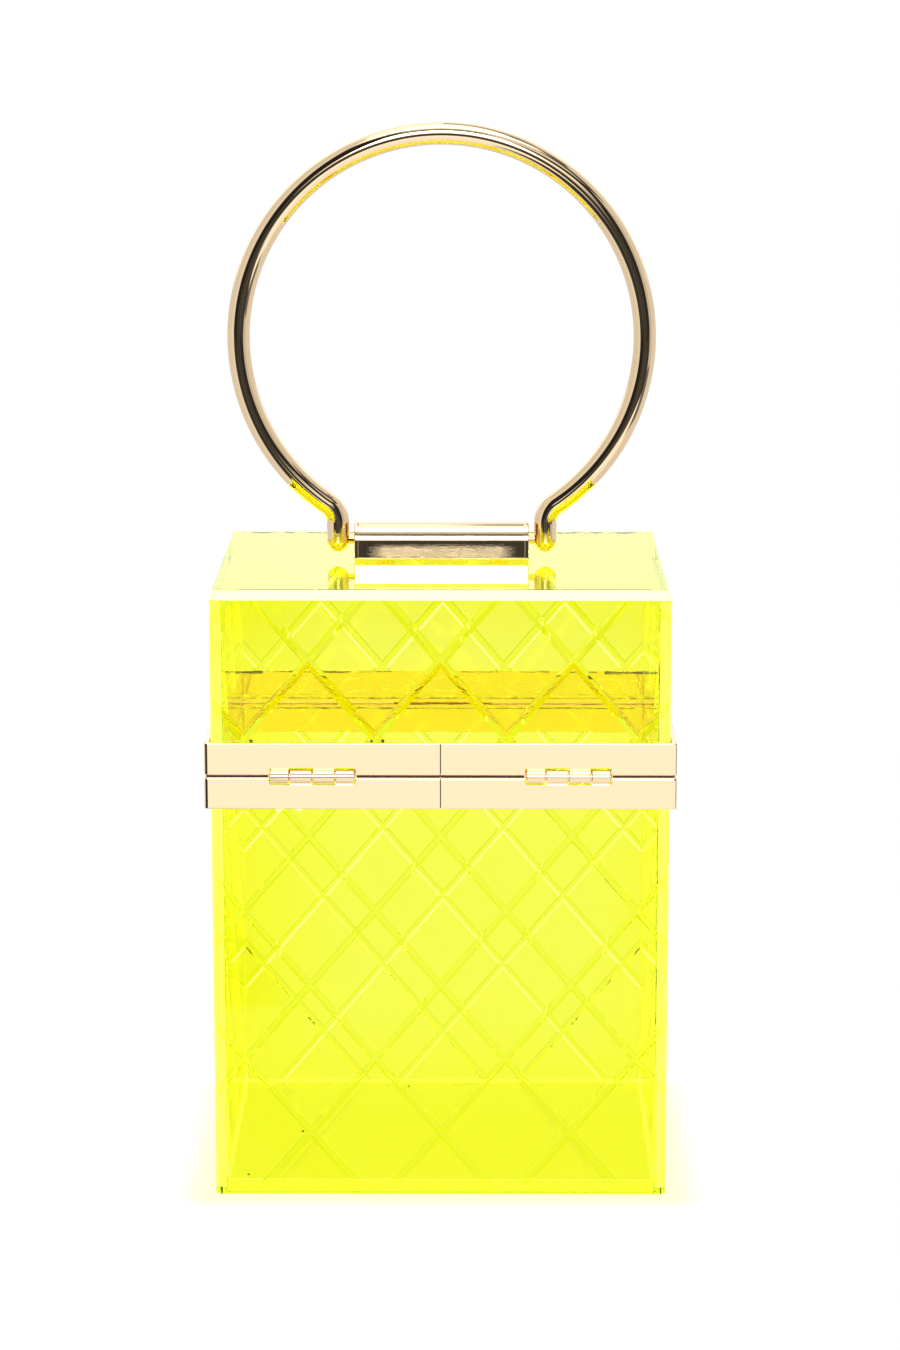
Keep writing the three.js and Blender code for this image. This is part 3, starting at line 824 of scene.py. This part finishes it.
def makeBand(node, name, body, lipUp):
    # an L of skirt and lip carried round the box
    low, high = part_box(node)
    lipZ, endZ = (bandTop, bandTop - bandHeight) if lipUp else (lidBandBottom, lidBandBottom + bandHeight)
    inward = -bandLook["lip"] if lipUp else bandLook["lip"]
    corners = [(skirtFar, lipZ), (skirtFar, endZ), (bandLook["gap"], endZ), (bandLook["gap"], lipZ + inward),
               (-wall, lipZ + inward), (-wall, lipZ)]
    outer, end, small, lip = (bandLook[k] for k in ("outerRound", "endRound", "smallRound", "lipRound"))
    radii = [outer if lipUp else end, end, small, small, small, lip if lipUp else small]
    turns = [bandLook[k] - skirtFar for k in ("cornerAlong", "cornerAcross")]
    points = carriedRound(roundedOutline(corners, radii), bandLook["cornerSteps"], *turns)
    band = makeObject(name, points, tubeFaces(*points.shape[:2], True), gold)
    cutAway(band, [hingeWindow(-1), hingeWindow(1), seamSlit(low, high)])
    keepFlat(band)
    place(band, body, "pale_gold", [node])


hingeLook = {
    "knuckleRadius": 1.7 * mm,
    "bore": 1.1 * mm,
    "edge": 0.18 * mm,
    "sides": 40,
    "lengths": [4.6 * mm, 5.4 * mm, 5.4 * mm, 4.6 * mm],
    "between": 0.3 * mm,
    "windowEnd": 0.55 * mm,
    "windowSide": 0.5 * mm,
    "windowRound": 1.0 * mm,
    "webBack": 0.3 * mm,        # the strap from a knuckle to the skirt stands this far behind the skirt's face
    "webThick": 0.85 * mm,
    "webClear": 0.15 * mm,      # of the bore
    "webLap": 0.9 * mm,         # behind the skirt
    "webInset": 0.1 * mm,
}
knuckleRun = sum(hingeLook["lengths"]) + 3 * hingeLook["between"]
hingeMiddle = (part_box("right_hinge_pin")[0].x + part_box("right_hinge_pin")[1].x) / 2


def blockBetween(name, outlineXz, yFront, yBack):
    # a closed outline in XZ carried straight from one Y to another
    count = len(outlineXz)
    points = [np.stack([outlineXz[:, 0], np.full(count, y), outlineXz[:, 1]], -1) for y in (yFront, yBack)]
    return makeObject(name, np.stack(points), tubeFaces(2, count), gold)


def hingeWindow(side):
    reachX = knuckleRun / 2 + hingeLook["windowEnd"]
    reachZ = hingeLook["knuckleRadius"] + hingeLook["windowSide"]
    outline = rectangleLoops(reachX, reachZ, hingeLook["windowRound"], 6)[0]
    outline = outline + np.array([side * hingeMiddle, hingeAxis[2]])
    return blockBetween("window", outline, hingeAxis[1] - 5 * mm, hingeAxis[1] + reachZ)


def seamSlit(low, high):
    half = bandLook["seam"] / 2
    outline = np.array([(-half, low.z - mm), (half, low.z - mm), (half, high.z + mm), (-half, high.z + mm)])
    return blockBetween("slit", outline, -skirtFace - mm, -skirtFace + bandLook["seamDepth"])


def makeKnuckles(side, owner, name, body):
    # the knuckles of one hinge that belong to one frame, each with the web that ties it to the skirt
    edge, outer, bore, sides = (hingeLook[k] for k in ("edge", "knuckleRadius", "bore", "sides"))
    start = side * hingeMiddle - knuckleRun / 2
    parts = []
    for index, length in enumerate(hingeLook["lengths"]):
        end = start + length
        if index % 2 == owner:
            corners = [(bore, start), (outer, start), (outer, end), (bore, end)]
            section = roundedOutline(corners, [edge / 2, edge, edge, edge / 2], 3)
            points = turnedPoints(section, sides, (0, hingeAxis[1], hingeAxis[2]), "x")
            parts.append((points, tubeFaces(len(section), sides, True)))
            parts.append(knuckleWeb(start, end, 1 if body == "lid" else -1))
        start = end + hingeLook["between"]
    knuckles = makeObject(name, *joined(parts), gold)
    keepFlat(knuckles)
    place(knuckles, body, "pale_gold")


def knuckleWeb(start, end, up):
    # a short strap behind the knuckle, from just outside its bore to the skirt
    front, inset = hingeLook["webBack"] - skirtFace, hingeLook["webInset"]
    near = hingeLook["bore"] + hingeLook["webClear"]
    far = hingeLook["knuckleRadius"] + hingeLook["windowSide"] + hingeLook["webLap"]
    return thinPlate((start + inset, front, hingeAxis[2] + up * near),
                     (end - inset, front + hingeLook["webThick"], hingeAxis[2] + up * far))


def makeRod(node, name, body, axis, radius, endRound, sides, steps):
    # a thin rod along X with rounded ends; its section stops just short of the axis
    low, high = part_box(node)
    core, coreRound = 0.01 * mm, 0.002 * mm
    section = roundedOutline([(core, low.x), (radius, low.x), (radius, high.x), (core, high.x)],
                             [coreRound, endRound, endRound, coreRound], steps)
    points = turnedPoints(section, sides, (0, axis[1], axis[2]), "x")
    rod = makeObject(name, points, tubeFaces(len(section), sides, True), gold)
    place(rod, body, "pale_gold", [node])


def seamShadePlate(low, high):
    # painted shade: a dark plate at the bottom of the seam slit of one frame, a little clear of the slit's sides
    half, inset = bandLook["seam"] / 2 - 0.01 * mm, 0.35 * mm
    front, back = 0.2 * mm, bandLook["seamDepth"] + 0.05 * mm
    return (-half, front - skirtFace, low + inset), (half, back - skirtFace, high - inset)


def partingShadePlates():
    # painted shade: dark plates in the parting, under the lid frame: along the hinge side, clear of the hinges,
    # and both short sides
    outer = skirtFar - bandLook["tarnishBack"]
    inner = outer - bandLook["tarnishDeep"]
    low, high = bandTop + bandLook["tarnishClear"], lidBandBottom + bandLook["tarnishInto"]
    window = knuckleRun / 2 + hingeLook["windowEnd"] + bandLook["tarnishEnd"]
    endX, innerX = halfWidth + outer, halfWidth + inner
    stretches = [(-endX, -hingeMiddle - window), (-hingeMiddle + window, hingeMiddle - window),
                 (hingeMiddle + window, endX)]
    plates = [((x0, -halfDepth - outer, low), (x1, -halfDepth - inner, high)) for x0, x1 in stretches]
    nearY, farY = -halfDepth - inner + 0.02 * mm, halfDepth + inner
    return plates + [((x0, nearY, low), (x1, farY, high)) for x0, x1 in ((-endX, -innerX), (innerX, endX))]


def darkPatchPlates():
    # dark patches between the front of the lid and the top of its frame
    top = lidBandBottom + bandHeight - bandLook["grimeTop"]
    near, far = (halfDepth + out for out in bandLook["grimeOut"])
    return [((x0 * mm, near, top - tall * mm), (x1 * mm, far, top)) for x0, x1, tall in bandLook["grime"]]


makeBand("base_band", "baseFrame", "base", True)
makeBand("lid_band", "lidFrame", "lid", False)
# painted shade: dark plates at the bottom of both seam slits
lidSeamShade = seamShadePlate(lidBandBottom, lidBandBottom + bandHeight)
makePlates("baseTarnish", "base", [seamShadePlate(bandTop - bandHeight, bandTop)], grimeAndShade, "pale_gold")
# painted shade: dark plates in the lid frame's seam slit and in the parting, where the narrow gaps are in shade
makePlates("lidTarnish", "lid", [lidSeamShade] + partingShadePlates(), grimeAndShade, "pale_gold")
makePlates("frontGrime", "lid", darkPatchPlates(), grimeAndShade, "pale_gold")
for side, word in ((-1, "left"), (1, "right")):
    makeKnuckles(side, 0, word + "LidKnuckles", "lid")
    makeKnuckles(side, 1, word + "BaseKnuckles", "base")
    makeRod(word + "_hinge_pin", word + "HingePin", "base", hingeAxis, 0.8 * mm, 0.3 * mm, 24, 4)
print("frames and hinges ready")


# Ring handle, barrel and axle

ringLook = {
    "radius": 52 * mm,
    "rise": 52.5 * mm,        # of the ring's centre over the axle
    "wire": 5.8 * mm,
    "footSpacing": 53.6 * mm,
    "bendRadius": 6 * mm,
    "sides": 40,
    "tipSteps": 12,
    "legSteps": 4,
    "bendSteps": 16,
    "arcSteps": 110,
}


def ringLine():
    # centre line from the right foot's end, straight up, out through a bend, round the ring and down again
    foot, bend, radius, wire = (ringLook[k] for k in ("footSpacing", "bendRadius", "radius", "wire"))
    foot, tip = foot / 2, wire / 2
    drop = math.sqrt((radius + bend) ** 2 - (foot + bend) ** 2)
    bendZ = ringLook["rise"] - drop
    turn = math.atan2(drop, foot + bend)
    roundEnd = -tip * np.cos(np.linspace(0.03, math.pi / 2, ringLook["tipSteps"], endpoint=False))
    straight = np.linspace(0, bendZ, ringLook["legSteps"], endpoint=False)
    z = np.concatenate([roundEnd, straight])
    legs = np.stack([np.full(len(z), foot), z], -1)
    angle = np.linspace(math.pi, math.pi - turn, ringLook["bendSteps"], endpoint=False)
    elbow = np.stack([foot + bend + bend * np.cos(angle), bendZ + bend * np.sin(angle)], -1)
    angle = np.linspace(-turn, math.pi / 2, ringLook["arcSteps"])
    arc = np.stack([radius * np.cos(angle), ringLook["rise"] + radius * np.sin(angle)], -1)
    half = np.concatenate([legs, elbow, arc])
    thick = np.full(len(half), tip)
    thick[:len(roundEnd)] = np.sqrt(tip ** 2 - roundEnd ** 2)
    line = np.concatenate([half, half[-2::-1] * np.array([-1, 1])])
    return line, np.concatenate([thick, thick[-2::-1]])


def makeRing():
    # a round wire carried along the centre line, closing to a half ball at each foot
    line, thick = ringLine()
    ahead = np.gradient(line, axis=0)
    ahead /= np.linalg.norm(ahead, axis=1, keepdims=True)
    sideways = np.stack([ahead[:, 1], -ahead[:, 0]], -1)
    angle = np.linspace(0, 2 * math.pi, ringLook["sides"], endpoint=False)
    flat = line[:, None, :] + sideways[:, None, :] * (thick[:, None] * np.cos(angle))[:, :, None]
    deep = thick[:, None] * np.sin(angle)
    points = np.stack([flat[..., 0], deep, flat[..., 1]], -1) + np.array(swingAxis)
    ring = makeObject("ringWire", points, tubeFaces(*points.shape[:2]), gold, 60)
    place(ring, "handle", "pale_gold", ["ring_handle"])


barrelLook = {
    "radius": 4.8 * mm,
    "half": 22.5 * mm,
    "rimHeight": 0.2 * mm,
    "rimLength": 1.0 * mm,
    "endRound": 0.25 * mm,
    "rimRound": 0.08 * mm,
    "bore": 1.2 * mm,
    "sides": 96,
    "rows": 64,
    "seatGap": 0.3 * mm,
    "footRound": 0.55 * mm,
    "flare": 0.4 * mm,          # the sides lean out by this towards the seat
    "brushedEnd": 20 * mm,      # the brushing fades out towards the ends and towards the top of the sides
    "brushedFade": 5 * mm,
    "brushedTop": 1.1 * mm,
    "leastBrushed": 0.08,
}


def archLoop(reach, floor):
    # half a circle over nearly upright sides, closed by a flat seat: angle 0 is +Y, and the seat is at floor.
    # The sides lean out by the flare from the axis down to their corner round; reach is one value for each loop
    reach = np.asarray(reach)[:, None]
    flare = barrelLook["flare"] * reach / barrelLook["radius"]
    angle = np.linspace(0, math.pi, barrelLook["sides"] // 2 + 1)
    y, z = (reach - flare) * np.cos(angle), reach * np.sin(angle)
    foot = barrelLook["footRound"]
    bend = np.linspace(0, math.pi / 2, 7)
    down = np.linspace(-0.25 * mm, floor + foot, 9)[:-1] + 0 * reach
    side = reach - flare * (1 - down / (floor + foot))
    footY = reach - foot + foot * np.cos(bend)
    footZ = floor + foot - foot * np.sin(bend) + 0 * reach
    across = np.linspace(1, -1, 25)[1:-1] * (reach - foot)
    seat = floor + 0 * across
    y = np.hstack([y, -side, -footY, -across, footY[:, ::-1], side[:, ::-1]])
    z = np.hstack([z, down, footZ, seat, footZ[:, ::-1], down[:, ::-1]])
    return y, z


def makeBarrel():
    # an arch carried along X: rims stand a little proud at its ends, and the bore ends it inside
    radius, end, rise, rim = (barrelLook[k] for k in ("radius", "half", "rimHeight", "rimLength"))
    inner, hair, inside = end - rim, 0.001 * mm, 0.1 * mm
    corners = [(mm, -end), (radius + rise, -end), (radius + rise, -inner), (radius, -inner - hair),
               (radius, inner + hair), (radius + rise, inner), (radius + rise, end), (mm, end)]
    endRound, rimRound = barrelLook["endRound"], barrelLook["rimRound"]
    section = roundedOutline(corners, [inside, endRound, *[rimRound] * 4, endRound, inside], 4)[5:-5]
    middle = np.linspace(-inner + 0.3 * mm, inner - 0.3 * mm, barrelLook["rows"])
    straight = np.stack([np.full(len(middle), radius), middle], -1)
    half = len(section) // 2
    section = np.vstack([section[:half], straight, section[half:]])
    y, z = archLoop(section[:, 0], lidHigh.z + barrelLook["seatGap"] - swingAxis[2])
    x = np.broadcast_to(section[:, 1][:, None], y.shape)
    turn = np.arctan2(z[0], y[0])
    bore = barrelLook["bore"] * np.stack([0 * turn, np.cos(turn), np.sin(turn)], -1)
    points = [(bore - [end, 0, 0])[None], np.stack([x, y, z], -1), (bore + [end, 0, 0])[None]]
    points = np.concatenate(points) + np.array(swingAxis)
    barrel = makeObject("barrelTube", points, tubeFaces(*points.shape[:2], True), barrelGold)
    centres = faceValues(barrel.data, "center")
    downward = np.clip((swingAxis[2] - 0.1 * mm - centres[:, 2]) / barrelLook["brushedTop"], 0, 1)
    lengthwise = np.clip((barrelLook["brushedEnd"] - abs(centres[:, 0])) / barrelLook["brushedFade"], 0, 1)
    markFaces(barrel.data, "brushed", np.maximum(downward * lengthwise, barrelLook["leastBrushed"]))
    place(barrel, "lid", "pale_gold", ["handle_barrel"])


screwLook = {
    "head": 2.6 * mm,
    "headHeight": 1.6 * mm,
    "dome": 0.55 * mm,
    "domePower": 2.5,
    "domeEnd": 0.75 * mm,
    "shank": 1.1 * mm,
    "shankEnd": 0.3 * mm,
    "slotHalf": 0.35 * mm,
    "slotReach": 1.7 * mm,
    "slotDepth": 0.7 * mm,
    "slotSoft": 0.12 * mm,
    "slotEndSoft": 0.3 * mm,
    "sides": 72,
    "rows": 26,
}


def makeScrew(node, name):
    # a domed head below the top plate with a cross pressed into it, and its shank up into the barrel
    low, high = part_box(node)
    head, tall, shank, taper = (screwLook[k] for k in ("head", "headHeight", "shank", "shankEnd"))
    reach = (np.linspace(0.02, 1, screwLook["rows"]) * (head - 0.02 * mm))[:, None]
    angle = np.linspace(0, 2 * math.pi, screwLook["sides"], endpoint=False)
    across, along = reach * np.cos(angle), reach * np.sin(angle)
    narrow = np.minimum(np.abs(across), np.abs(along))
    near = np.clip((screwLook["slotHalf"] - narrow) / screwLook["slotSoft"] + 0.5, 0, 1)
    inside = np.clip((screwLook["slotReach"] - reach) / screwLook["slotEndSoft"] + 0.5, 0, 1)
    dome = screwLook["dome"] * (reach / head) ** screwLook["domePower"]
    z = low.z + dome + near * inside * (screwLook["slotDepth"] - dome)
    rest = np.array([(head, low.z + screwLook["domeEnd"]), (head, low.z + tall), (shank, low.z + tall),
                     (shank, high.z - taper), (shank - taper, high.z)])
    body = turnedPoints(rest, screwLook["sides"], (0, 0, 0), "z")
    points = np.concatenate([np.stack([across, along, z], -1), body]) + np.array([(low.x + high.x) / 2, 0, 0])
    screw = makeObject(name, points, tubeFaces(*points.shape[:2]), gold)
    place(screw, "lid", "pale_gold", [node])


makeRing()
makeBarrel()
makeRod("handle_axle", "ringAxle", "handle", swingAxis, 0.9 * mm, 0.2 * mm, 32, 3)
makeScrew("left_screw", "leftScrew")
makeScrew("right_screw", "rightScrew")
print("ring handle and barrel ready")


# Clasp

claspLook = {
    "round": 1.5 * mm,
    "edge": 0.5 * mm,
    "crown": 0.12 * mm,     # the plate's face is very slightly domed
    "back": 0.2 * mm,       # bevel round its back
    "face": (0.3 * mm, 4.6 * mm, 10),   # inset of the face's first and last row, and the number of rows
}


def makeClasp():
    # a plate built from rounded rectangles that draw in round its front edge, then cross a slightly domed face
    low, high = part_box("clasp")
    middle = (low + high) / 2
    halfX, halfZ, depth = (high.x - low.x) / 2, (high.z - low.z) / 2, high.y - low.y
    edge, crown, back = claspLook["edge"], claspLook["crown"], claspLook["back"]
    bend = np.linspace(0, math.pi / 2, 7)
    face = edge + np.linspace(*claspLook["face"])
    inset = np.concatenate([[back, 0], edge * (1 - np.cos(bend)), face])
    rise = np.concatenate([[0, back], depth - crown - edge + edge * np.sin(bend),
                           depth - crown * ((halfZ - face) / halfZ) ** 2])
    radius = np.maximum(claspLook["round"] - inset, 0.25 * mm)
    loops = rectangleLoops(halfX - inset, halfZ - inset, radius, 8)
    points = np.stack([loops[..., 0] + middle.x, np.broadcast_to(low.y + rise[:, None], loops.shape[:2]),
                       loops[..., 1] + middle.z], -1)
    clasp = makeObject("claspPlate", points, tubeFaces(*points.shape[:2]), gold)
    place(clasp, "lid", "pale_gold", ["clasp"])


makeClasp()
print("clasp ready")


# Glue and specks

glueLook = {
    "rim": 0.11 * mm,           # half the thickness of a glue patch's rim
    "rimPoints": 140,
    "rimSides": 8,
    # where glue has wetted the front of the lid behind its frame: left, right, lowest, highest
    "patches": [(-41.5, -20, 113.0, 116.6), (-17, -6, 112.6, 115.4), (-3.5, 10, 113.2, 117.0),
                (16, 27, 112.8, 115.0), (37, 53.6, 112.8, 116.4)],
    "dropSides": 28,
    "dropReach": [1, 0.98, 0.86, 0.62, 0.35, 0.03],
    "dropHeight": [0, 0.3, 0.65, 0.88, 0.97, 1.0],
    "dropClear": 0.015 * mm,    # between a drop and its face
    "dropRise": 0.22 * mm,
    "speckRise": 0.15 * mm,
    # drops under the base frame on the hinge side: x, z, half width, half height
    "drops": [(-40.5, 101.5, 0.9, 0.7), (-35.5, 101.45, 0.7, 0.55), (-36.8, 101.6, 0.3, 0.3)],
    # brown specks on the floor inside: x, y, half size
    "floorSpecks": [(-49.5, -37, 0.3), (-37, -2, 0.28), (-45.3, -41, 0.26), (-9.4, 37, 0.3)],
    # and on the hinge side of the lid, just over its frame: x, z, half width, half height
    "lidSpecks": [(-47.3, 118.95, 0.45, 0.3), (-17.2, 118.95, 0.35, 0.28), (-14.4, 119.0, 0.5, 0.3)],
}


def gluePatchRim(left, right, low, high, phase):
    # a thin tube round the wavy rim of one patch, in the gap between the acrylic and the frame
    turn = np.linspace(0, 2 * math.pi, glueLook["rimPoints"], endpoint=False)
    wavy = 1 + 0.10 * np.sin(3 * turn + phase) + 0.07 * np.sin(7 * turn + 2.3 * phase)
    wavy += 0.04 * np.sin(13 * turn + phase)
    squareX = np.sign(np.cos(turn)) * abs(np.cos(turn)) ** 0.5
    squareZ = np.sign(np.sin(turn)) * abs(np.sin(turn)) ** 0.7
    x = ((left + right) / 2 + (right - left) / 2 * squareX) * mm
    z = ((low + high) / 2 + (high - low) / 2 * squareZ * wavy) * mm
    line = np.stack([x, z], -1)
    ahead = np.roll(line, -1, axis=0) - np.roll(line, 1, axis=0)
    ahead /= np.linalg.norm(ahead, axis=1, keepdims=True)
    sideways = np.stack([ahead[:, 1], -ahead[:, 0]], -1)
    angle = np.linspace(0, 2 * math.pi, glueLook["rimSides"], endpoint=False)
    rim = glueLook["rim"]
    flat = line[:, None] + rim * sideways[:, None] * np.cos(angle)[None, :, None]
    y = halfDepth + bandLook["gap"] / 2 + rim * np.sin(angle)[None, :] + 0 * x[:, None]
    points = np.stack([flat[..., 0], y, flat[..., 1]], -1)
    return points, gridQuads(*points.shape[:2], True, True)


def unevenDrop(centre, u, v, out, halfU, halfV, rise, phase):
    # a low uneven drop on a flat face that looks along out
    turn = np.linspace(0, 2 * math.pi, glueLook["dropSides"], endpoint=False)
    uneven = 1 + 0.12 * np.sin(2 * turn + phase) + 0.08 * np.sin(5 * turn + 2 * phase)
    reach = np.array(glueLook["dropReach"])[:, None] * uneven
    height = glueLook["dropClear"] + rise * np.array(glueLook["dropHeight"])[:, None] + 0 * turn
    u, v, out = (np.array(a, float) for a in (u, v, out))
    points = (reach * np.cos(turn) * halfU)[..., None] * u + (reach * np.sin(turn) * halfV)[..., None] * v
    points += np.array(centre) + height[..., None] * out
    return points, tubeFaces(*points.shape[:2])


def hingeSideDrops(drops, rise):
    return [unevenDrop((x * mm, -halfDepth, z * mm), (1, 0, 0), (0, 0, 1), (0, -1, 0), a * mm, b * mm, rise, x)
            for x, z, a, b in drops]


def makeBlobs(name, body, material, blobs):
    place(makeObject(name, *joined(blobs), material, 60), body, "yellow_acrylic")


rims = [gluePatchRim(*patch, 1.7 * index) for index, patch in enumerate(glueLook["patches"])]
specks = [unevenDrop((x * mm, y * mm, floorTop), (1, 0, 0), (0, 1, 0), (0, 0, 1), a * mm, 1.6 * a * mm,
                     glueLook["speckRise"], x) for x, y, a in glueLook["floorSpecks"]]
makeBlobs("glueRims", "lid", cornerCement, rims)
makeBlobs("glueDrops", "base", beadCement, hingeSideDrops(glueLook["drops"], glueLook["dropRise"]))
makeBlobs("floorSpecks", "base", grimeAndShade, specks)
makeBlobs("lidSpecks", "lid", grimeAndShade, hingeSideDrops(glueLook["lidSpecks"], glueLook["speckRise"]))
print("glue and specks ready")
